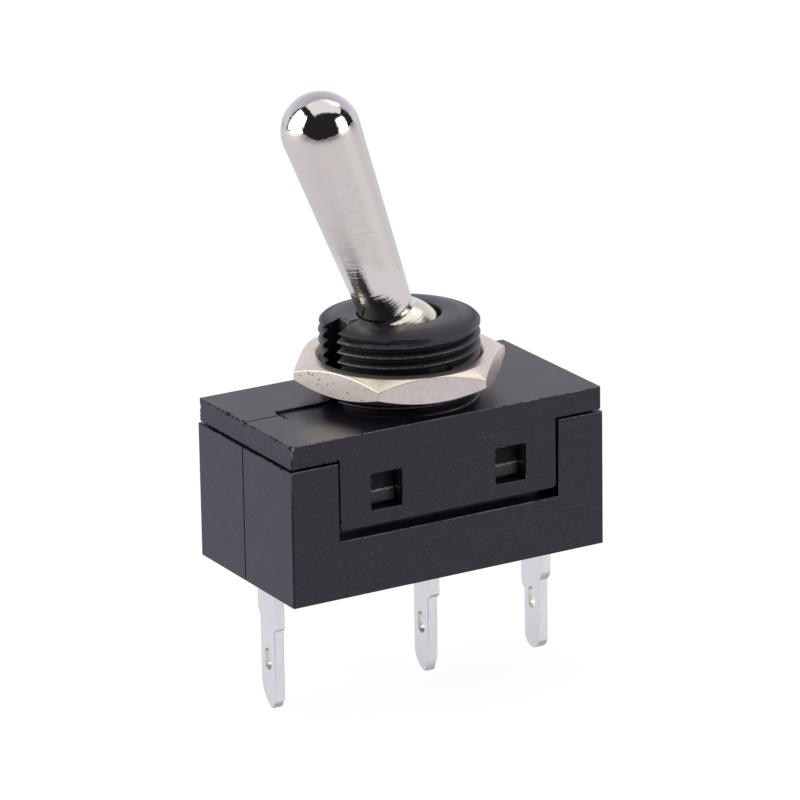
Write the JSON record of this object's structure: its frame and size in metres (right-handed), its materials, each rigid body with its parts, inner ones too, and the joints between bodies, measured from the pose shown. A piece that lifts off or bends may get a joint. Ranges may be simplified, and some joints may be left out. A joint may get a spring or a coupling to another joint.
{
  "type": "panel toggle switch",
  "caption": "Panel toggle switch: metal bat lever in a threaded plastic bushing with a hexagon nut, on a snap-together black housing with flat solder terminals.",
  "frame": {"origin": "centre of the cover's top face, on the bushing's axis", "axes": "+Z out of the panel along the bushing, +X along the row of terminals towards the closed contact, +Y towards the back of the housing"},
  "size_m": [0.0262, 0.0154, 0.0456],
  "materials": {
    "black_plastic": "black moulded thermoset plastic, fine grain, semi-matt",
    "nut_nickel": "satin nickel plate with small pits",
    "lever_nickel": "bright nickel plate over turned brass, satin on the bat and mirror at the tip",
    "tinned_brass": "pale tin plate on stamped brass",
    "bare_steel": "bare drawn steel",
    "plunger_nylon": "natural nylon, smooth",
    "copper_alloy": "stamped copper alloy strip, satin",
    "contact_silver": "silver contact metal, satin"
  },
  "bodies": {
    "housing": {"base_housing": "black_plastic", "cover_housing": "black_plastic", "terminal_left": "tinned_brass", "terminal_centre": "tinned_brass", "terminal_right": "tinned_brass", "fixed_contact_left": "contact_silver", "fixed_contact_right": "contact_silver", "centre_saddle": "copper_alloy", "saddle_rivet": "copper_alloy"},
    "toggle": {"lever": "lever_nickel", "pivot_pin": "bare_steel", "plunger_spring": "bare_steel"},
    "nose": {"plunger": "plunger_nylon"},
    "see_saw": {"rocker_contact": "copper_alloy", "moving_contact_left": "contact_silver", "moving_contact_right": "contact_silver"},
    "nut": {"mounting_nut": "nut_nickel"}
  },
  "joints": [
    {"name": "lever_pivot", "type": "hinge", "parent": "housing", "child": "toggle", "pos_m": [0, 0, 0.00364], "axis": [0, 1, 0], "range_deg": [0, 40]},
    {"name": "rocker_tilt", "type": "hinge", "parent": "housing", "child": "see_saw", "pos_m": [0, 0, -0.0084], "axis": [0, 1, 0], "range_deg": [-18, 0]},
    {"name": "plunger_slide", "type": "slide", "parent": "toggle", "child": "nose", "axis": [-0.342, 0, 0.9397], "range_m": [0, 0.0011], "stiffness_N_per_m": 800, "springref_m": -0.0015, "deforming": ["plunger_spring"]},
    {"name": "nut_turn", "type": "hinge", "parent": "housing", "child": "nut", "pos_m": [0, 0, 0.0022], "axis": [0, 0, 1], "continuous": true}
  ],
  "couplings": [
    {"joint": "rocker_tilt", "follows": "lever_pivot", "ratio": -0.45}
  ]
}
